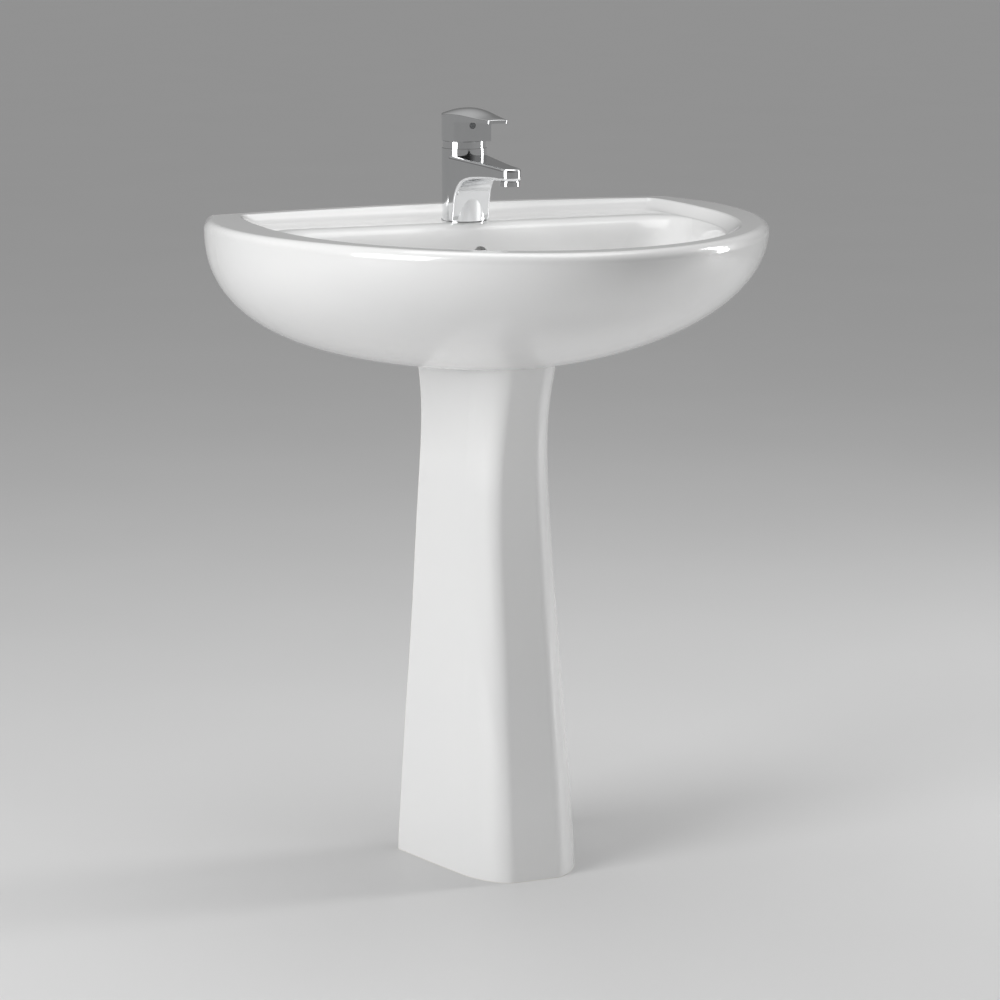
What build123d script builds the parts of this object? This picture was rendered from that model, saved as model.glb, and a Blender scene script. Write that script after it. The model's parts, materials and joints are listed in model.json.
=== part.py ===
"""Pedestal wash basin with a single-lever tap, a press plug and a bottle trap.

Millimetres, +Z up, floor at Z = 0. Shapes are drawn with the wall face at Y = 0 and the room
towards -Y. `save` then slides everything by WALL_Y, so that the origin is under the box centre.
"""
from math import cos, radians, sin, sqrt

from build123d import *
import os

# ---------------------------------------------------------------- driving dimensions
RIM_Z = 825.0            # flat top of the rim
GIRTH_Z = 813.0          # level of the basin's largest outline
BOTTOM_Z = 641.0         # underside of the basin
BASIN_HALF = 352.0       # half of the overall width
BASIN_DEPTH = 552.0      # wall to front
WALL_HALF = 327.0        # half width where the basin meets the wall
BACK_CROWN = 4.8         # rise of the rim at the middle of the wall
RIM_ROLL = 11.0          # radius of the rolled outer edge
DECK_Z = 813.6           # tap deck
TAP_SEAT = 812.9         # flat spot in the deck, under the tap
BACK_PLATE = 22.0        # ceramic against the wall
WALL_EXTRA = 45.0        # how far fixings and drain reach into the wall
WALL_Y = (BASIN_DEPTH - WALL_EXTRA) / 2

TAP_Y = -62.7            # tap axis
TAP_R = 29.0             # tap column radius
TAP_HOLE_R = 17.5
STUD_Y = 11.5            # fixing stud, behind the tap axis
WASTE_Y = -182.0         # drain axis
WASTE_HOLE_R = 23.0
BOWL_FLOOR = 682.0
OVERFLOW_Z = 775.0

BOLT_X = 140.0           # wall bolts, each side of the middle
BOLT_Z = 765.0
BOLT_R = 5.0             # wood thread, in the wall
BOLT_END_R = 4.0         # metric thread, on the room's side

PED_TOP = 655.0          # top edge of the pedestal
PED_WALL = 11.0          # pedestal thickness
PED_BACK = -118.0        # open back of the pedestal
LUG_X = 92.0             # floor lugs, each side of the middle
LUG_Y = -138.0
LUG_HOLE_R = 3.5
PED_FRONT_SHARE = 0.52   # front corners' half width, as a share of the back's
SEAT_GAP = 0.8           # play around the pedestal's top, in the basin's underside
SEAT_Z = 656.3           # ceiling of that seat
# height, half width at the back, front
PED_LEVELS = [
    (0.0, 116.5, -306.0),
    (60.0, 113.3, -300.5),
    (150.0, 107.6, -290.0),
    (260.0, 99.6, -275.0),
    (370.0, 92.5, -259.5),
    (470.0, 86.6, -248.5),
    (540.0, 82.2, -250.0),
    (595.0, 81.6, -260.5),
    (PED_TOP, 88.0, -281.5),
]

PIVOT_Z = 890.0          # centre the lever tilts about
SPOUT_Y = -155.5         # outlet, ahead of the tap axis
NOSE_R = 13.6            # round end of the spout
LEVER_Y = -116.0         # lever tip, ahead of the tap axis
PLUG_Z = 935.8           # screw that fixes the lever
INLET_R = 5.0            # supply threads in the tap's base
INLET_DEPTH = 12.0
SPLIT_Z = 915.6          # gap between tap body and lever
DOME_R = 37.5            # spherical top of the tap body, around the pivot
TRAP_R = 32.0
OUTLET_Z = 520.0         # height of the drain in the wall
PIPE_R = 16.0            # drain pipe in the wall
SPIGOT_R = 15.4          # its thinner end, on the room's side


# ---------------------------------------------------------------- helpers
def save(name, shape):
    export_step(Pos(0, WALL_Y, 0) * shape, f"parts/{name}.step")


def tube(r_out, r_in, z0, z1, x=0.0, y=0.0):
    ring = Cylinder(r_out, z1 - z0) - Cylinder(r_in, z1 - z0)
    return Pos(x, y, (z0 + z1) / 2) * ring


def rod(r, z0, z1, x=0.0, y=0.0):
    return Pos(x, y, (z0 + z1) / 2) * Cylinder(r, z1 - z0)


def rod_y(r, y0, y1, x=0.0, z=0.0):
    return Pos(x, (y0 + y1) / 2, z) * Rot(90, 0, 0) * Cylinder(r, abs(y1 - y0))


def tube_y(r_out, r_in, y0, y1, x=0.0, z=0.0):
    return rod_y(r_out, y0, y1, x, z) - rod_y(r_in, y0, y1, x, z)


def block(x0, x1, y0, y1, z0, z1):
    box = Box(x1 - x0, y1 - y0, z1 - z0)
    return Pos((x0 + x1) / 2, (y0 + y1) / 2, (z0 + z1) / 2) * box


def hexagon(across, r_in, z0, z1, x=0.0, y=0.0):
    plan = RegularPolygon(across / sqrt(3), 6) - Circle(r_in)
    return Pos(x, y, z0) * extrude(plan, z1 - z0)


def ribbed_ring(r_out, r_in, z0, z1, ribs, y=0.0):
    """A hand nut: a ring whose outside carries evenly spaced grip ribs."""
    body = tube(r_out, r_in, z0, z1, 0, y)
    for i in range(ribs):
        a = radians(360 * i / ribs)
        body += rod(1.6, z0 + 1, z1 - 1, r_out * cos(a), y + r_out * sin(a))
    return body


def d_wire(z, back, back_half, half, side, front, lead, k_side, k_front):
    """A D-shaped outline, straight at the back, made of four smooth curves."""
    p0 = (back_half, back)
    p1 = (back_half + lead[0] * (half - back_half), back + lead[1] * (side - back))
    p2 = (half, back + 0.45 * (side - back))
    p3 = (half, side)
    q1 = (half, side + k_side * (front - side))
    q2 = (half * k_front, front)
    q3 = (0, front)
    right = [Edge.make_bezier(p0, p1, p2, p3), Edge.make_bezier(p3, q1, q2, q3)]
    mirror_x = [[(-x, y) for x, y in pts] for pts in ([q3, q2, q1, p3], [p3, p2, p1, p0])]
    left = [Edge.make_bezier(*pts) for pts in mirror_x]
    close = [Edge.make_line((-back_half, back), (back_half, back))]
    return Pos(0, 0, z) * Wire(right + left + close)


# ---------------------------------------------------------------- basin
def outer_wire(z):
    """Outline of the basin's outside at one height."""
    h = max(0.0, (GIRTH_Z - z) / (GIRTH_Z - 639.0))
    x = (1 - h ** 2.15) ** (1 / 2.15)
    wall_half = 48 + (WALL_HALF - 48) * x
    depth = 191 + (BASIN_DEPTH - 191) * (1 - h ** 1.59) ** (1 / 1.59)
    half = wall_half * BASIN_HALF / WALL_HALF
    side = -126 * depth / BASIN_DEPTH
    return d_wire(z, 0, wall_half, half, side, -depth, (0.6, 0.35), 0.51, 0.51)


def outer_body():
    levels = [BOTTOM_Z, 644, 650, 660, 675, 695, 720, 750, 785, GIRTH_Z]
    shell = Solid.make_loft([outer_wire(z) for z in levels])
    rim = extrude(Face(outer_wire(GIRTH_Z)), RIM_Z + BACK_CROWN + 1 - GIRTH_Z, dir=(0, 0, 1))
    return shell + rim


def above_rim():
    """Everything above the rim: flat at the front, gently crowned along the wall."""
    w = BASIN_HALF + 20
    def cap(y, rise):
        edge = ThreePointArc((-w, RIM_Z - 0.2 * rise), (0, RIM_Z + rise), (w, RIM_Z - 0.2 * rise))
        top = RIM_Z + 30
        lines = [Line((w, RIM_Z - 0.2 * rise), (w, top)), Line((w, top), (-w, top)),
                 Line((-w, top), (-w, RIM_Z - 0.2 * rise))]
        return Plane((0, y, 0), x_dir=(1, 0, 0), z_dir=(0, -1, 0)) * make_face([edge, *lines])
    return Solid.make_loft([cap(5, BACK_CROWN).wire(), cap(-600, 0.05).wire()], ruled=True)


def cavity():
    """Everything inside the rim in one smooth skin: slope, tap deck, then the bowl.

    Rows: height, back, half width at the back, half width, widest point, front.
    """
    rows = [
        (834, 12, 284, 306, 150, 526),
        (827, 17, 279, 299, 150, 518.5),
        (821, 23, 272, 292, 150, 512),
        (816.8, 32, 262, 285.5, 151, 507.8),
        (814.6, 46, 252, 281.5, 153, 505.2),
        (DECK_Z, 72, 243, 278.5, 157, 503.4),
        (812.9, 92, 234, 276, 162, 501.4),
        (810.4, 103, 226, 273.5, 168, 499),
        (803, 111, 216, 270, 176, 495),
        (788, 117, 205, 264, 185, 487),
        (762, 122, 190, 253, 193, 468),
        (735, 128, 172, 236, 199, 436),
        (710, 135, 140, 205, 201, 386),
        (694, 142, 100, 159, 196, 322),
        (686, 148, 58, 102, 188, 262),
        (BOWL_FLOOR, 155, 16, 36, 182, 212),
    ]
    wires = [d_wire(z, -b, bh, a, -s, -f, (0.78, 0), 0.64, 0.49) for z, b, bh, a, s, f in rows]
    return Solid.make_loft(wires)


def rear_hollow():
    """Space behind the bowl for the tap fixing, the wall bolts and the supply pipes."""
    upper = block(-214, 214, -90, -BACK_PLATE, 704, DECK_Z - 14)
    upper = fillet(upper.edges().filter_by(Axis.Y), 18)
    lower = block(-128, 128, -90, -BACK_PLATE, BOTTOM_Z - 5, 706)
    return upper + lower


def overflow_way():
    mouth = rod_y(10, -150, -98, 0, OVERFLOW_Z)
    drop = block(-13, 13, -107, -98, 660, OVERFLOW_Z + 4)
    run = block(-13, 13, WASTE_Y + 10, -98, 660, 669)
    return mouth + drop + run


def pedestal_wire(z, grow=0.0):
    """Outline of the pedestal at one level of PED_LEVELS, grown outwards by `grow`."""
    back_half, front = next((b, f) for level, b, f in PED_LEVELS if level == z)
    b, y = back_half + grow, front - grow
    f = back_half * PED_FRONT_SHARE + grow
    slant = (b - f) / (PED_BACK - y)
    cut = 0.31 * (PED_BACK - y)
    side_end = (f + cut * slant, y + cut)
    corner_end = (f - 0.55 * cut, y + 0.3)
    third = (PED_BACK - side_end[1]) / 3
    side = Edge.make_bezier((b, PED_BACK), (b - third * slant + 1.2, PED_BACK - third),
                            (side_end[0] + third * slant + 1.2, side_end[1] + third), side_end)
    corner = Edge.make_bezier(side_end, (f + 0.5 * cut * slant - 0.6, y + 0.5 * cut),
                              (f - 0.26 * cut, y + 0.6), corner_end)
    face = Edge.make_bezier(corner_end, (0.6 * corner_end[0], y), (0.25 * corner_end[0], y), (0, y))
    half = Wire([side, corner, face])
    other = mirror(half, Plane.YZ)
    close = Edge.make_line((-b, PED_BACK), (b, PED_BACK))
    return Pos(0, 0, z) * Wire([*half.edges(), *other.edges(), close])


def basin():
    body = outer_body() - above_rim()
    body = fillet(rim_edges(body), RIM_ROLL)
    body -= cavity()
    body = fillet(crest_edges(body), 5)
    body -= rear_hollow()
    body -= overflow_way()
    body -= rod(TAP_HOLE_R, 780, 840, 0, TAP_Y) + rod(TAP_R + 1.2, TAP_SEAT, 840, 0, TAP_Y)
    body -= rod(WASTE_HOLE_R, 640, 700, 0, WASTE_Y) + rod(32, 679.6, 700, 0, WASTE_Y)
    for x in (-BOLT_X, BOLT_X):
        body -= rod_y(8, -BACK_PLATE - 5, 5, x, BOLT_Z)
    seat = Pos(0, 0, -20) * Face(pedestal_wire(PED_TOP, SEAT_GAP))
    return body - extrude(seat, 20 + SEAT_Z - PED_TOP, dir=(0, 0, 1))


def crest_edges(body):
    """The inner edge of the rim, where its top turns down into the bowl."""
    top = [e for e in body.edges() if e.bounding_box().min.Z > RIM_Z - 1.2]
    return [e for e in top if abs(e.bounding_box().max.X) < 310 and e.bounding_box().max.Y < -11
            and e.bounding_box().min.Y > -525 and e.bounding_box().min.X > -310]


def rim_edges(body):
    """Outer top edges, without the one that runs along the wall."""
    top = [e for e in body.edges() if e.bounding_box().min.Z > RIM_Z - 2.5]
    return [e for e in top if e.bounding_box().min.Y < -1]


# ---------------------------------------------------------------- pedestal
def pedestal():
    zs = [row[0] for row in PED_LEVELS]
    outside = Solid.make_loft([pedestal_wire(z) for z in zs])
    ends = {zs[0]: -1.0, zs[-1]: 1.0}
    inside = Solid.make_loft([Pos(0, 0, ends.get(z, 0.0)) * inner_wire(z) for z in zs])
    body = outside - inside
    for side in (-1, 1):
        lug = block(-12, 12, -16, 16, 0, 12) + rod(13, 0, 12, -side * 8, 0)
        body += Pos(side * LUG_X, LUG_Y, 0) * lug & outside
        body -= rod(LUG_HOLE_R, -1, 13, side * LUG_X - side * 5, LUG_Y)
    return body


def inner_wire(z):
    """The pedestal's inside: the outline moved in, and carried out through the open back."""
    outline = pedestal_wire(z, -PED_WALL)
    curves = [e for e in outline.edges() if e.geom_type != GeomType.LINE]
    half = max(v.X for v in outline.vertices())
    out = PED_BACK + 8
    corners = [(half, PED_BACK, z), (half, out, z), (-half, out, z), (-half, PED_BACK, z)]
    return Wire([*curves, *Polyline(*corners).edges()])


def pedestal_gasket():
    """The bead of sealant between the pedestal's top and the basin."""
    height = SEAT_Z - PED_TOP - 0.1
    outer = Face(pedestal_wire(PED_TOP, -0.3))
    ring = extrude(outer, height, dir=(0, 0, 1)) - extrude(Face(inner_wire(PED_TOP)), height, dir=(0, 0, 1))
    return Pos(0, 0, 0.05) * ring


# ---------------------------------------------------------------- wall fixings
def wall_fixings():
    for side, x in (("left", -BOLT_X), ("right", BOLT_X)):
        thread = rod_y(BOLT_END_R, -50, 0.6, x, BOLT_Z)
        save(f"wall_bolt_{side}", thread + rod_y(BOLT_R, 0.5, WALL_EXTRA, x, BOLT_Z))
        save(f"wall_bolt_sleeve_{side}", tube_y(7.9, 4.1, -BACK_PLATE, 0, x, BOLT_Z))
        save(f"wall_bolt_seal_{side}", tube_y(15, 4.1, -24.2, -22.1, x, BOLT_Z))
        save(f"wall_bolt_washer_{side}", tube_y(14, 4.1, -26.2, -24.3, x, BOLT_Z))
        nut = Rot(90, 0, 0) * hexagon(13, BOLT_END_R + 0.05, 0, 6.5)
        save(f"wall_bolt_nut_{side}", Pos(x, -26.3, BOLT_Z) * nut)


# ---------------------------------------------------------------- tap
def tap(shape):
    return Pos(0, TAP_Y, 0) * shape


def spout_plan():
    """Top view of the spout: narrows from the column to a round nose."""
    r = NOSE_R
    right = Edge.make_bezier((27, -4), (24, -50), (r, -105), (r, SPOUT_Y))
    left = Edge.make_bezier((-r, SPOUT_Y), (-r, -105), (-24, -50), (-27, -4))
    nose = ThreePointArc((r, SPOUT_Y), (0, SPOUT_Y - r), (-r, SPOUT_Y)).edge()
    return make_face([right, nose, left, Edge.make_line((-27, -4), (27, -4))])


def spout_side():
    """Side view of the spout: a nearly level top over an underside that arches into the column."""
    tip = SPOUT_Y - 16.5
    under = Spline((tip, 877), (-125, 875.8), (-90, 873.5), (-60, 869.5), (-42, 862), (-33, 852),
                   (-27.5, 838), (-22, 815))
    rest = Polyline((-22, 815), (-4, 815), (-4, 897.5), (tip, 892.2), (tip, 877))
    return Plane.YZ * make_face([*under.edges(), *rest.edges()])


def spout():
    body = Pos(0, 0, 800) * extrude(spout_plan(), 120) & Pos(-40, 0, 0) * extrude(spout_side(), 80)
    ahead = [e for e in body.edges() if e.bounding_box().min.Y < -100]
    body = fillet([e for e in ahead if e.bounding_box().min.Z > 889], 3.5)
    ahead = [e for e in body.edges() if e.bounding_box().min.Y < -100]
    return fillet([e for e in ahead if e.bounding_box().max.Z < 885 and e.length > 60], 4)


def tap_body():
    """Column and spout in one casting, bored for the cartridge, the aerator and two supplies."""
    body = spout() + rod(TAP_R, TAP_SEAT + 1, SPLIT_Z - 9.6)
    body -= rod(20.2, 869, 910)
    body -= rod(10.6, 870, 884, 0, SPOUT_Y)
    body -= rod_y(5, -12, SPOUT_Y, 0, 883)
    for x in (-10, 10):
        body -= rod(4.2, 820, 870, x)
        body -= rod(INLET_R, 810, TAP_SEAT + 1 + INLET_DEPTH, x)
    return body - rod(4.05, 810, 834, 0, STUD_Y)


def clamp_plate(z0, z1):
    disc = rod(22, z0, z1) - block(-16, 16, -23, 5.5, z0, z1)
    return disc - rod(4.2, z0, z1, 0, STUD_Y)


def lever_plan():
    """Top view: the round skirt, and the plate that tapers to a rounded tip."""
    corners = [(Pos(x, LEVER_Y + 4) * Circle(4)).edge() for x in (-9.4, 9.4)]
    return make_hull([(Rot(0, 0, 90) * Circle(TAP_R + 0.2)).edge(), *corners])


def lever_section(y, low, edge, crown):
    """A slice across the lever: flat below, arched on top."""
    w = 33
    arch = ThreePointArc((-w, edge), (0, crown), (w, edge))
    frame = Polyline((w, edge), (w, low), (-w, low), (-w, edge))
    plane = Plane((0, y, 0), x_dir=(1, 0, 0), z_dir=(0, -1, 0))
    return plane * make_face([arch, *frame.edges()])


def lever():
    """A round skirt that runs out forwards into a thin, crowned, tapering plate."""
    rows = [
        (34, 910, 943.0, 948.0),
        (14, 910, 945.8, 954.4),
        (-6, 910, 946.6, 957.4),
        (-30, 910, 944.5, 958.2),
        (-60, 910, 941.2, 955.4),
        (-90, 910, 941.4, 951.6),
        (LEVER_Y - 6, 910, 946.6, 947.8),
    ]
    body = loft([lever_section(*row) for row in rows])
    body = body & Pos(0, 0, SPLIT_Z) * extrude(lever_plan(), 60)
    body = fillet([e for e in body.edges() if e.bounding_box().min.Z > 942], 1.0)
    under = Plane.YZ.offset(-40) * make_face(Polyline(
        (LEVER_Y - 8, 944.7), (-70, 943.2), (-TAP_R - 0.2, 941.2), (-TAP_R - 0.2, 905),
        (LEVER_Y - 8, 905), (LEVER_Y - 8, 944.7)))
    body -= extrude(under, 80)
    body -= Pos(0, 0, PIVOT_Z) * Sphere(DOME_R + 0.5)
    body -= block(-4.1, 4.1, -4.1, 4.1, 920, 946.5)
    return body - rod_y(2.6, -24, -3, 0, PLUG_Z) - rod_y(4.3, -40, -23.4, 0, PLUG_Z)


def cartridge():
    """Ceramic-disc cartridge: name, shape."""
    ports = [(-8.5, 2, 3.6), (8.5, 2, 3.6), (0, -9, 4.2)]
    housing = rod(19.9, 871, 900) - rod(16.3, 872.6, 901)
    fixed = rod(16.1, 872.7, 876)
    for x, y, r in ports:
        housing -= rod(r, 870, 873, x, y)
        fixed -= rod(r, 872, 877, x, y)
    moving = rod(11.8, 876.1, 879.4) - rod(8.6, 875, 877.6) - block(-4.2, 4.2, -4.6, 4.6, 878, 880)
    carrier = rod(16.2, 882.6, 897.4) - block(-4.3, 4.3, -8.4, 8.4, 880, 900)
    carrier -= Pos(0, 0, PIVOT_Z) * Rot(0, 90, 0) * Cylinder(2.05, 40)
    stem = block(-4, 4, -4, 4, 882, 946) + block(-3.6, 3.6, -3, 3, 878.6, 883)
    stem += Pos(0, 0, PIVOT_Z) * Rot(0, 90, 0) * Cylinder(2, 28)
    seals = [tube(5.4, 4.3, 869.1, 870.9, x, 0) for x in (-10, 10)]
    dome = rod(28, SPLIT_Z - 9.4, 930) & Pos(0, 0, PIVOT_Z) * Sphere(DOME_R)
    dome -= rod(20.6, 900, 914) + rod(19.4, 900, 940)
    return {
        "cartridge_housing": housing,
        "cartridge_fixed_disc": fixed,
        "cartridge_moving_disc": moving,
        "cartridge_stem_carrier": carrier,
        "cartridge_stem": stem,
        "cartridge_seals": seals[0] + seals[1],
        "cartridge_nut": hexagon(34, 16.6, 903, 911) + tube(20.05, 16.6, 900.2, 903.2),
        "cartridge_dome": dome,
    }


def tap_parts():
    parts = {
        "tap_body": tap_body(),
        "tap_base_seal": tube(27.5, 18.5, TAP_SEAT, TAP_SEAT + 1),
        "tap_stud": rod(4, 762, 832, 0, STUD_Y),
        "tap_clamp_seal": clamp_plate(796.6, 799.5),
        "tap_clamp_plate": clamp_plate(794, 796.5),
        "tap_clamp_nut": hexagon(13, 4.05, 781.9, 793.9, 0, STUD_Y),
        "lever_handle": lever(),
        "lever_grub_screw": rod_y(2.5, -21, -4.2, 0, PLUG_Z),
        "lever_button": rod_y(4.2, -TAP_R - 0.1, -24, 0, PLUG_Z),
        "aerator_shell": tube(12.3, 9.6, 870.7, 876.3, 0, SPOUT_Y) + tube(10.5, 9.6, 876, 880.9, 0, SPOUT_Y),
        "aerator_insert": rod(9.5, 871.6, 880.8, 0, SPOUT_Y) - mesh_holes(),
        "aerator_washer": tube(10.4, 7, 881, 882.6, 0, SPOUT_Y),
    }
    for name, shape in {**parts, **cartridge()}.items():
        save(name, tap(shape))


def mesh_holes():
    """Water holes of the aerator: one in the middle and two rings around it."""
    holes = rod(0.9, 870, 882, 0, SPOUT_Y)
    for ring, count in ((3.2, 6), (6.4, 12)):
        for i in range(count):
            a = radians(360 * i / count)
            holes += rod(0.9, 870, 882, ring * cos(a), SPOUT_Y + ring * sin(a))
    return holes


# ---------------------------------------------------------------- waste and plug
def waste_parts():
    y = WASTE_Y
    body = tube(31.5, 17.5, 680.6, 682.6, 0, y) + tube(20.4, 17.5, 598, 681, 0, y)
    body += block(-17.8, 17.8, y - 2.4, y + 2.4, 636, 641) + rod(5, 632, 649.9, 0, y)
    body -= rod(2.3, 630, 652, 0, y) + block(-8, 8, y + 12, y + 24, 661, 668)
    cap = rod(29, 690.3, 700, 0, y) & Pos(0, y, 690.3 - 96 + 4.6) * Sphere(96)
    coil = sweep(Plane.XZ * Pos(3.7, 650.6) * Circle(0.45), path=spring_path())
    parts = {
        "waste_body": body,
        "waste_top_seal": tube(31, 23.2, 679.7, 680.5, 0, y),
        "waste_bottom_seal": tube(29, 20.6, 646, SEAT_Z - 0.1, 0, y),
        "waste_washer": tube(29, 20.6, 644.3, 645.9, 0, y),
        "waste_backnut": hexagon(50, 20.5, 634, 644.2, 0, y),
        "plug_cap": cap + rod(8, 688.2, 690.4, 0, y),
        "plug_seal": tube(17.2, 8.1, 688.2, 690.2, 0, y),
        "plug_spindle": rod(2.2, 633, 688.1, 0, y),
        "plug_spring": Pos(0, y, 0) * coil,
    }
    for name, shape in parts.items():
        save(name, shape)


def spring_path():
    return Pos(0, 0, 650.6) * Helix(pitch=4.6, height=36.8, radius=3.7)


# ---------------------------------------------------------------- bottle trap
def trap_parts():
    y, z = WASTE_Y, OUTLET_Z
    end = y + 50
    body = rod(TRAP_R, 462, 556, 0, y) - rod(29, 460, 553, 0, y)
    body += tube(20, 15, 555, 572, 0, y) + rod_y(20, y + 26, end, 0, z)
    body -= rod_y(14.2, y + 20, end + 1, 0, z) + rod(16.15, 550, 575, 0, y)
    cup = rod(34, 438, 480, 0, y) - rod(TRAP_R + 0.1, 460.1, 481, 0, y) - rod(28, 442, 470, 0, y)
    for i in range(16):
        a = radians(360 * i / 16)
        cup += rod(1.5, 440, 478, 34 * cos(a), y + 34 * sin(a))
    outlet_nut = Rot(-90, 0, 0) * (ribbed_ring(24, 20.1, 0, 14, 18) + tube(24, 15.6, 14, 18))
    outlet = rod_y(SPIGOT_R, end + 0.3, 0.6, 0, z) + rod_y(PIPE_R, 0.5, WALL_EXTRA, 0, z)
    parts = {
        "trap_inlet_seal": tube(20.3, 16.2, 595.9, 597.9, 0, y),
        "trap_inlet_pipe": tube(16, 14.2, 455, 595.8, 0, y) + tube(20.3, 15, 592.8, 595.8, 0, y),
        "trap_inlet_nut": ribbed_ring(25, 20.5, 592.6, 610, 18, y) + tube(25, 16.2, 589, 592.7, 0, y),
        "trap_top_seal": tube(19.8, 16.1, 572.1, 575, 0, y),
        "trap_top_nut": ribbed_ring(24, 20.1, 560, 575.1, 18, y) + tube(24, 16.2, 575.1, 579, 0, y),
        "trap_body": body,
        "trap_cup": cup,
        "trap_cup_seal": tube(31.5, 28.6, 460.1, 462, 0, y),
        "trap_outlet_pipe": outlet - rod_y(14.2, end, WALL_EXTRA + 1, 0, z),
        "trap_outlet_seal": tube_y(19.8, SPIGOT_R + 0.1, end + 0.2, end + 3, 0, z),
        "trap_outlet_nut": Pos(0, end - 11, z) * outlet_nut,
        "wall_flange": rod_y(36, -3, -0.3, 0, z) + rod_y(24, -9, -2.9, 0, z)
        - rod_y(SPIGOT_R + 0.1, -10, 1, 0, z),
    }
    for name, shape in parts.items():
        save(name, shape)


def main():
    os.makedirs("parts", exist_ok=True)
    save("basin", basin())
    save("pedestal", pedestal())
    save("pedestal_gasket", pedestal_gasket())
    wall_fixings()
    tap_parts()
    waste_parts()
    trap_parts()


if __name__ == "__main__":
    main()
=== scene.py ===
# %% [markdown]
# # A pedestal sink in white glazed ceramic
#
# The shapes come from the CAD model, which is loaded as a fixed frame. This lesson gives each of
# them its finish, swaps the plug's spring for a new coil that rides on the plug, and sets up a
# floor, a camera and a soft studio. Each step says what the thing is on a real sink, how it could
# be made, and why it is made this way here.

# %% Load the frame
import json
import math

import bpy
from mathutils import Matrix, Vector


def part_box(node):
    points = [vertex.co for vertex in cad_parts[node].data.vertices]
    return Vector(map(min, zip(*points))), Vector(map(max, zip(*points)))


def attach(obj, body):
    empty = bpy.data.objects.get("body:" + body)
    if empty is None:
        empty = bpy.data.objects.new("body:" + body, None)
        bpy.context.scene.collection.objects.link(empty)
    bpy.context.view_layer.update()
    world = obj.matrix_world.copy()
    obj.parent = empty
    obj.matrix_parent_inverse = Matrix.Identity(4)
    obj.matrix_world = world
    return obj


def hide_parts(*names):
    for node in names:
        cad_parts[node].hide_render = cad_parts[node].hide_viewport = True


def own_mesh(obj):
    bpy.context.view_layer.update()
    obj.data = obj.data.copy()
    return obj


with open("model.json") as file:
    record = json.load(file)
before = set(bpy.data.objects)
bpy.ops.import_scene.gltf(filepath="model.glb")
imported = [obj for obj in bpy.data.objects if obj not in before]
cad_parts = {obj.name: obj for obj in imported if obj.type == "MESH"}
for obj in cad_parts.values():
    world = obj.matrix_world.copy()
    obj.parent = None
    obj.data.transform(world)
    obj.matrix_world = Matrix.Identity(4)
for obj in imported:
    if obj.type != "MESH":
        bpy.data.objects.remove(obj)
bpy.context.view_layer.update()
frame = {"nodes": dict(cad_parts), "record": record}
record = frame["record"]
print("CAD nodes:", len(frame["nodes"]))

# %% [markdown]
# ## Places
#
# Every place is read from the frame, so nothing has to be measured twice. The wall is the plane
# behind the basin, and the pedestal's open back edges lie in the plane of its highest y.

# %% Places read from the frame
_, WALL_Y, RIM_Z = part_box("basin")[1]
PEDESTAL_BACK_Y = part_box("pedestal")[1][1]
print("wall plane y =", round(WALL_Y, 4), " rim z =", round(RIM_Z, 4))

# %% [markdown]
# ## Shader maths as expressions
#
# A material is a graph of nodes. Wiring each Math node by hand hides the sum that it does. The
# small class below wraps a socket, so that `1 - mask * 0.5` adds the nodes for us.

# %% A value that varies over a surface
class Field:
    """Wraps an output socket; arithmetic on it adds Math nodes to its tree."""

    def __init__(self, finish, socket):
        self.finish = finish
        self.socket = socket

    def math(self, operation, first, second):
        return self.finish.make("ShaderNodeMath", {"operation": operation}, {0: first, 1: second})

    def __add__(self, other):
        return self.math("ADD", self, other)

    def __sub__(self, other):
        return self.math("SUBTRACT", self, other)

    def __rsub__(self, other):
        return self.math("SUBTRACT", other, self)

    def __mul__(self, other):
        return self.math("MULTIPLY", self, other)

    __radd__ = __add__
    __rmul__ = __mul__

    def at_least(self, other):
        return self.math("MAXIMUM", self, other)

    def clamp(self, low, high, to_low=0.0, to_high=1.0):
        """Maps low..high to to_low..to_high, and holds it at the ends."""
        sockets = {"Value": self, "From Min": low, "From Max": high,
                   "To Min": to_low, "To Max": to_high}
        return self.finish.make("ShaderNodeMapRange", {}, sockets)


# %% [markdown]
# ## One kind of finish
#
# A finish is a material with one Principled shader. Constants are set on the shader's own
# sockets; whatever changes over the surface is linked to colour, roughness, metallic or normal.

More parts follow.
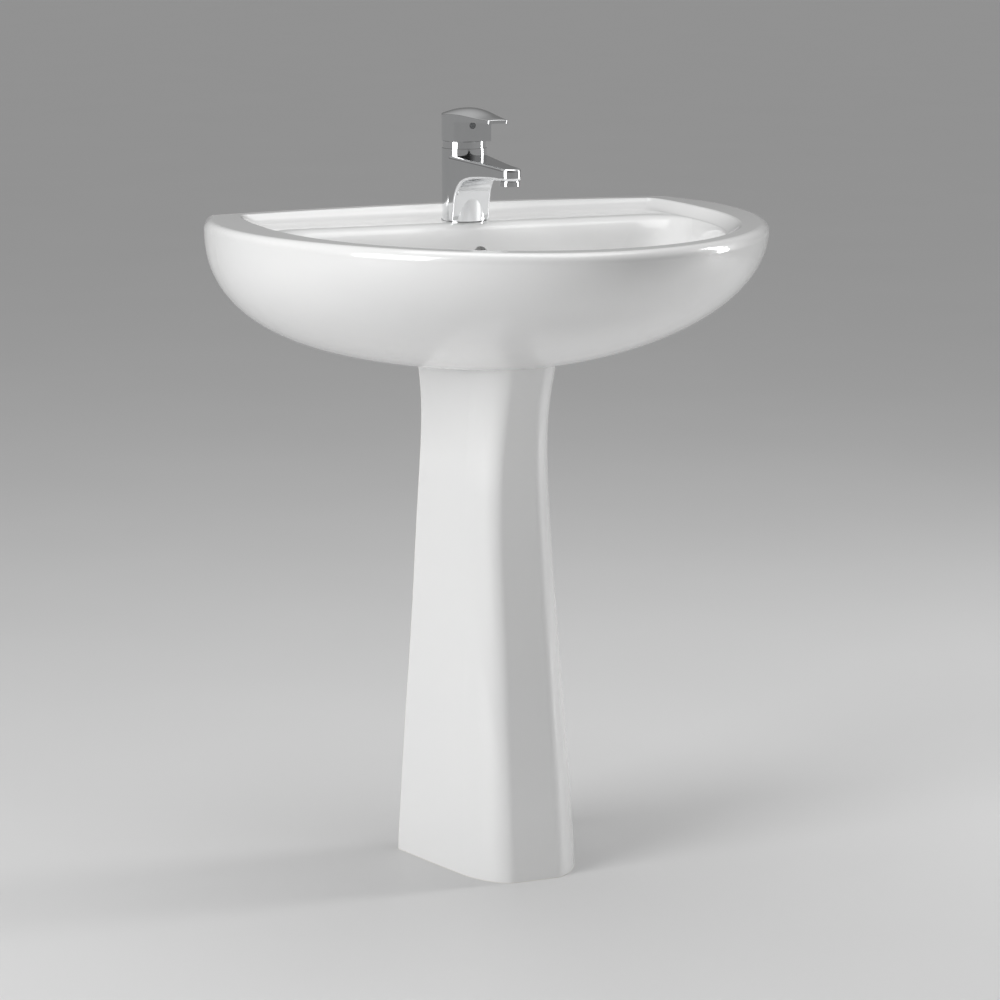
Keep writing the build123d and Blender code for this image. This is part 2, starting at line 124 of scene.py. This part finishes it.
# %% A finish and the one method that makes its nodes
class Finish:
    def __init__(self, name, **constants):
        self.owner = bpy.data.materials.new(name)
        self.owner.use_nodes = True
        self.tree = self.owner.node_tree
        self.shader = self.tree.nodes["Principled BSDF"]
        for socket, value in constants.items():
            self.shader.inputs[socket.replace("_", " ")].default_value = value

    def make(self, kind, settings, sockets, out=0):
        node = self.tree.nodes.new(kind)
        for key, value in settings.items():
            if key == "stops":
                self.set_stops(node.color_ramp, value)
            else:
                setattr(node, key, value)
        for key, value in sockets.items():
            self.feed(node.inputs[key], value)
        return Field(self, node.outputs[out])

    def feed(self, socket, value):
        if isinstance(value, Field):
            self.tree.links.new(value.socket, socket)
        else:
            socket.default_value = value

    def set_stops(self, ramp, stops):
        while len(ramp.elements) < len(stops):
            ramp.elements.new(0.5)
        for element, (place, colour) in zip(ramp.elements, stops):
            element.position = place
            element.color = colour

    def surface(self, **links):
        """Feeds the shader: surface(Base_Color=..., Roughness=...)."""
        for name, value in links.items():
            self.feed(self.shader.inputs[name.replace("_", " ")], value)
        return self.owner

    def place(self):
        """The point on the object, in metres."""
        return self.make("ShaderNodeTexCoord", {}, {}, "Object")

    def axis(self, letter):
        return self.make("ShaderNodeSeparateXYZ", {}, {"Vector": self.place()}, letter)

    def noise(self, size, detail=3.0, roughness=0.5, stretch=(1, 1, 1), out="Fac"):
        """Cloudy noise with features about `size` metres across."""
        scaled = self.make("ShaderNodeMapping", {}, {"Vector": self.place(), "Scale": stretch})
        sockets = {"Vector": scaled, "Scale": 1 / size, "Detail": detail, "Roughness": roughness}
        return self.make("ShaderNodeTexNoise", {}, sockets, out)

    def blend(self, factor, first, second, mode="MIX"):
        """Colours are mixed here, never added with Math, which would turn them grey."""
        settings = {"data_type": "RGBA", "blend_type": mode}
        return self.make("ShaderNodeMix", settings, {0: factor, 6: first, 7: second}, 2)

    def bump(self, height, depth, strength=1.0, under=None):
        sockets = {"Height": height, "Distance": depth, "Strength": strength}
        if under is not None:
            sockets["Normal"] = under
        return self.make("ShaderNodeBump", {}, sockets)


def rgb(r, g, b):
    return (r, g, b, 1.0)


# %% [markdown]
# ## White glaze
#
# Sanitary ware is a dense white clay under a clear, glassy glaze. The clay scatters light softly
# and the glaze mirrors the room, so the body is fairly rough and a clear coat lies on top. Fired
# glaze is never dead flat: it has a faint long ripple and a finer orange peel, and it is left off
# where the piece stands in the kiln or meets the wall.

# %% Glazed ceramic
def glazed_ceramic(name, bare_mask):
    finish = Finish(name, Coat_Roughness=0.035, Coat_IOR=1.52, IOR=1.5)
    cloud = finish.noise(0.16, 2.0)
    speck = finish.noise(0.0012, 2.0, 0.6).clamp(0.70, 0.76)
    bare = bare_mask(finish)
    glaze = finish.blend(cloud, rgb(0.845, 0.848, 0.85), rgb(0.872, 0.87, 0.862))
    glaze = finish.blend(speck * 0.10, glaze, rgb(0.66, 0.65, 0.62))
    clay = finish.blend(finish.noise(0.004, 4.0), rgb(0.74, 0.72, 0.68), rgb(0.82, 0.80, 0.77))
    ripple = finish.bump(finish.noise(0.055, 2.0), 0.0011, 0.20)
    peel = finish.bump(finish.noise(0.0045, 3.0), 0.00006, 0.30, ripple)
    grain = finish.bump(finish.noise(0.0007, 4.0) * bare, 0.0002, 0.6, peel)
    return finish.surface(
        Base_Color=finish.blend(bare, glaze, clay),
        Roughness=bare.clamp(0, 1, 0.30, 0.85) + cloud * 0.06,
        Coat_Weight=1 - bare,
        Normal=grain,
    )


def bare_at_wall(finish):
    """Clay shows on the face that meets the wall."""
    return finish.axis("Y").clamp(WALL_Y - 0.0012, WALL_Y - 0.0004)


def bare_at_floor(finish):
    """Clay shows on the ring that the pedestal stands on, and in its back edges."""
    foot = finish.axis("Z").clamp(0.0012, 0.0004)
    edge = finish.axis("Y").clamp(PEDESTAL_BACK_Y - 0.0008, PEDESTAL_BACK_Y - 0.0003)
    return foot.at_least(edge)


# %% [markdown]
# ## Chrome
#
# Chrome plate is a mirror, so its looks are the room's. What tells the eye that it is real is
# faint: a little smear where hands wipe it and a few dried drops.

# %% Chrome plate
def chrome(name, smear=1.0):
    finish = Finish(name, Metallic=1.0)
    wipe = finish.noise(0.02, 4.0, 0.6, (1, 1, 0.3))
    drops = finish.noise(0.0035, 1.0).clamp(0.66, 0.70)
    colour = finish.blend(wipe, rgb(0.80, 0.81, 0.82), rgb(0.86, 0.865, 0.87))
    rough = 0.035 + wipe * 0.045 * smear + drops * 0.05 * smear
    return finish.surface(Base_Color=colour, Roughness=rough,
                          Normal=finish.bump(finish.noise(0.012, 2.0), 0.00012, 0.15))


# %% [markdown]
# ## The hidden fittings
#
# Nuts, studs and washers are turned or pressed metal, the trap is moulded plastic, and the seals
# are rubber. Each finish below has the mark of how it is made: lathe rings, zinc bloom, a moulded
# skin, a fine matt tooth.

# %% Turned brass
def turned_brass(name):
    finish = Finish(name, Metallic=1.0)
    rings = finish.make("ShaderNodeTexWave", {"wave_type": "BANDS", "bands_direction": "Z"},
                        {"Vector": finish.place(), "Scale": 420.0, "Distortion": 0.6})
    tarnish = finish.noise(0.007, 4.0)
    colour = finish.blend(tarnish, rgb(0.60, 0.42, 0.17), rgb(0.80, 0.62, 0.30))
    return finish.surface(Base_Color=colour, Roughness=tarnish.clamp(0, 1, 0.22, 0.42),
                          Normal=finish.bump(rings, 0.00005, 0.5))


# %% Zinc-plated steel
def zinc_steel(name):
    finish = Finish(name, Metallic=1.0)
    bloom = finish.noise(0.005, 5.0, 0.65)
    colour = finish.blend(bloom, rgb(0.50, 0.52, 0.54), rgb(0.70, 0.70, 0.68))
    return finish.surface(Base_Color=colour, Roughness=bloom.clamp(0.2, 0.8, 0.24, 0.46),
                          Normal=finish.bump(finish.noise(0.0009, 3.0), 0.00005, 0.4))


# %% Moulded plastic
def moulded_plastic(name, dark, light, rough):
    finish = Finish(name, IOR=1.49)
    flow = finish.noise(0.03, 3.0)
    skin = finish.noise(0.0008, 2.0)
    return finish.surface(Base_Color=finish.blend(flow, dark, light),
                          Roughness=flow.clamp(0, 1, rough, rough + 0.12),
                          Normal=finish.bump(skin, 0.00004, 0.4))


# %% Rubber
def seal_rubber(name):
    finish = Finish(name, IOR=1.5)
    dust = finish.noise(0.003, 4.0, 0.6)
    colour = finish.blend(dust.clamp(0.45, 0.8), rgb(0.018, 0.018, 0.019), rgb(0.05, 0.05, 0.052))
    return finish.surface(Base_Color=colour, Roughness=dust.clamp(0, 1, 0.55, 0.8),
                          Normal=finish.bump(finish.noise(0.0006, 3.0), 0.00008, 0.5))


# %% Lapped ceramic
def lapped_ceramic(name):
    finish = Finish(name, IOR=1.7)
    grain = finish.noise(0.0015, 5.0, 0.7)
    colour = finish.blend(grain, rgb(0.80, 0.77, 0.71), rgb(0.90, 0.88, 0.84))
    return finish.surface(Base_Color=colour, Roughness=grain.clamp(0, 1, 0.12, 0.22),
                          Normal=finish.bump(grain, 0.00002, 0.3))


# %% [markdown]
# ## Dressing the CAD parts
#
# The record says which slot each node takes its finish from. One table turns slots into
# finishes, and a loop puts them on. The two ceramic pieces get a finish each, because their bare
# clay is in different places.

# %% Finishes by slot
finishes = {
    "chrome": chrome("chrome_plate"),
    "brass": turned_brass("turned_brass"),
    "steel": zinc_steel("zinc_steel"),
    "rubber": seal_rubber("seal_rubber"),
    "trap_plastic": moulded_plastic("trap_plastic", rgb(0.76, 0.76, 0.74),
                                    rgb(0.84, 0.84, 0.83), 0.22),
    "grey_plastic": moulded_plastic("grey_plastic", rgb(0.13, 0.135, 0.14),
                                    rgb(0.17, 0.175, 0.18), 0.38),
    "sleeve_plastic": moulded_plastic("sleeve_plastic", rgb(0.70, 0.70, 0.68),
                                      rgb(0.78, 0.78, 0.76), 0.35),
    "disc_ceramic": lapped_ceramic("lapped_ceramic"),
}
own_finish = {
    "basin": glazed_ceramic("basin_glaze", bare_at_wall),
    "pedestal": glazed_ceramic("pedestal_glaze", bare_at_floor),
}
slot_of = {part["node"]: part["material_slot"] for part in record["subparts"]}
for name, node in frame["nodes"].items():
    material = own_finish.get(name) or finishes[slot_of[name]]
    node.data.materials.clear()
    node.data.materials.append(material)
print("finishes:", len(finishes) + len(own_finish))

# %% [markdown]
# ## The plug's spring
#
# Pressing the plug shortens a coil of steel wire: its foot stays on the waste's hub while its top
# goes down with the plug. A coil that only rode with the plug would be driven into the hub. Here a
# new coil, swept round a helix, takes the old spring's place and rides on the plug, and the share
# of its length that it would keep at the plug's full travel is worked out and printed.

# %% Spring
WIRE_R = 0.00045
SPRING_TURNS = 8
STEPS_PER_TURN = 28
WIRE_SIDES = 10


def helix_ring(centre, radius, rise, angle):
    """The points round the wire at one place on the helix."""
    out = Vector((math.cos(angle), math.sin(angle), 0))
    along = Vector((-radius * out.y, radius * out.x, rise)).normalized()
    up = along.cross(out)
    middle = centre + out * radius
    turns = [math.tau * i / WIRE_SIDES for i in range(WIRE_SIDES)]
    return [middle + WIRE_R * (math.cos(t) * out + math.sin(t) * up) for t in turns]


def make_spring():
    low, high = (Vector(corner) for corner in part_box("plug_spring"))
    radius = (high.x - low.x) / 2 - WIRE_R
    foot, head = low.z + WIRE_R, high.z - WIRE_R
    steps = SPRING_TURNS * STEPS_PER_TURN
    rise = (head - foot) / (math.tau * SPRING_TURNS)
    points = []
    for step in range(steps + 1):
        height = foot + (head - foot) * step / steps
        centre = Vector(((low.x + high.x) / 2, (low.y + high.y) / 2, height))
        points += helix_ring(centre, radius, rise, math.tau * step / STEPS_PER_TURN)
    faces = [list(range(WIRE_SIDES))[::-1], [steps * WIRE_SIDES + i for i in range(WIRE_SIDES)]]
    for step in range(steps):
        for i in range(WIRE_SIDES):
            here, after = step * WIRE_SIDES, (i + 1) % WIRE_SIDES
            faces.append([here + i, here + after, here + WIRE_SIDES + after, here + WIRE_SIDES + i])
    mesh = bpy.data.meshes.new("plug_spring_coil")
    mesh.from_pydata(points, [], faces)
    mesh.shade_smooth()
    mesh.materials.append(finishes["steel"])
    coil = bpy.data.objects.new("plug_spring_coil", mesh)
    bpy.context.collection.objects.link(coil)
    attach(coil, "plug")
    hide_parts("plug_spring")
    press = next(j for j in record["behaviour"]["joints"] if j["name"] == "plug_press")
    length = high.z - low.z
    keep = (length + press["range_m"][0]) / length
    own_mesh(coil)
    print("spring:", len(mesh.vertices), "points, keeps", round(keep, 3))


make_spring()

# %% [markdown]
# ## Floor
#
# A pale matt floor, large enough that its edge never shows.

# %% Floor
FLOOR_SIZE = 60


def make_floor():
    bpy.ops.mesh.primitive_plane_add(size=FLOOR_SIZE)
    floor = bpy.context.object
    floor.name = "studio_floor"
    finish = Finish("studio_floor", IOR=1.45)
    cloud = finish.noise(0.5, 3.0)
    floor.data.materials.append(finish.surface(
        Base_Color=finish.blend(cloud, rgb(0.66, 0.66, 0.66), rgb(0.69, 0.69, 0.69)),
        Roughness=cloud.clamp(0, 1, 0.5, 0.6)))
    print("floor:", FLOOR_SIZE, "m across")


make_floor()

# %% [markdown]
# ## Camera
#
# A long lens from chest height, a little to the left, keeps the basin's curves true: with a short
# lens the front would swell. The camera looks straight along its aim, with no shift.

# %% Camera
CAMERA_TURN = math.radians(-21.912)     # negative: from the left
CAMERA_DROP = math.radians(11.434)
CAMERA_REACH = 3.833                    # from the aim point
AIM = Vector((-0.02614, WALL_Y - 0.250, 0.48288))
LENS = 110.56
SENSOR = 36


def add_camera():
    data = bpy.data.cameras.new("camera")
    data.lens = LENS
    data.sensor_width = SENSOR
    data.clip_end = 100
    camera = bpy.data.objects.new("camera", data)
    bpy.context.collection.objects.link(camera)
    back = Vector((math.sin(CAMERA_TURN) * math.cos(CAMERA_DROP),
                   -math.cos(CAMERA_TURN) * math.cos(CAMERA_DROP),
                   math.sin(CAMERA_DROP)))
    camera.location = AIM + back * CAMERA_REACH
    camera.rotation_euler = back.to_track_quat("Z", "Y").to_euler()
    bpy.context.scene.camera = camera
    print("camera at", [round(v, 4) for v in camera.location])


add_camera()

# %% [markdown]
# ## Studio light
#
# Gloss shows the lamps themselves, so each lamp is a large soft box whose reflection looks right
# on the rim. The key stands to the left and a little ahead, so that the pedestal's left face is
# the lightest and its front facet is a step darker. A wide box hangs overhead for the rim and the
# bowl, and a strip on the right draws the light edge of the pedestal.

# %% Soft boxes
def soft_box(name, place, aim, size, power):
    data = bpy.data.lights.new(name, "AREA")
    data.shape = "RECTANGLE"
    data.size, data.size_y = size
    data.energy = power
    lamp = bpy.data.objects.new(name, data)
    bpy.context.collection.objects.link(lamp)
    lamp.location = place
    lamp.rotation_euler = (Vector(place) - Vector(aim)).to_track_quat("Z", "Y").to_euler()


MIDDLE = (0, 0, RIM_Z * 0.6)
soft_box("key", (-2.95, -0.8, 1.65), MIDDLE, (1.5, 2.4), 66)
soft_box("overhead", (0.1, 0.1, 3.0), (0, 0, RIM_Z), (2.2, 1.8), 21)
soft_box("edge", (2.5, -0.1, 1.2), MIDDLE, (0.4, 1.9), 26)


# %% [markdown]
# ## The room around
#
# Chrome mirrors the whole room, and in an even grey room it looks like painted plastic. The sky
# here is light overhead and darker towards eye level, and the far end of the room, which the sink
# faces, is unlit. The tap shows that end as the dark patch that makes it read as metal.

# %% World
UNLIT_WAY = Vector((-0.36, -0.92, 0.12)).normalized()


class Sky(Finish):
    """The world has a node tree too, so it can be built with the same method."""

    def __init__(self, name, strength):
        self.owner = bpy.data.worlds.new(name)
        self.owner.use_nodes = True
        self.tree = self.owner.node_tree
        self.shader = self.tree.nodes["Background"]
        self.shader.inputs["Strength"].default_value = strength


def add_world():
    sky = Sky("studio", 0.54)
    direction = sky.make("ShaderNodeTexCoord", {}, {}, "Generated")
    height = sky.make("ShaderNodeSeparateXYZ", {}, {"Vector": direction}, "Z")
    greys = ((0.0, 0.42), (0.47, 0.42), (0.52, 0.32), (0.60, 0.36), (0.74, 0.85), (1.0, 1.0))
    stops = [(place, rgb(grey, grey, grey)) for place, grey in greys]
    ramp = sky.make("ShaderNodeValToRGB", {"stops": stops}, {"Fac": height.clamp(-1, 1)}, "Color")
    facing = sky.make("ShaderNodeVectorMath", {"operation": "DOT_PRODUCT"},
                      {0: direction, 1: UNLIT_WAY}, "Value")
    unlit = facing.clamp(0.50, 0.92)
    bpy.context.scene.world = sky.surface(Color=sky.blend(unlit, ramp, rgb(0.03, 0.03, 0.03)))


add_world()
bpy.context.scene.view_settings.view_transform = "Standard"
print("sky:", bpy.context.scene.world.name)
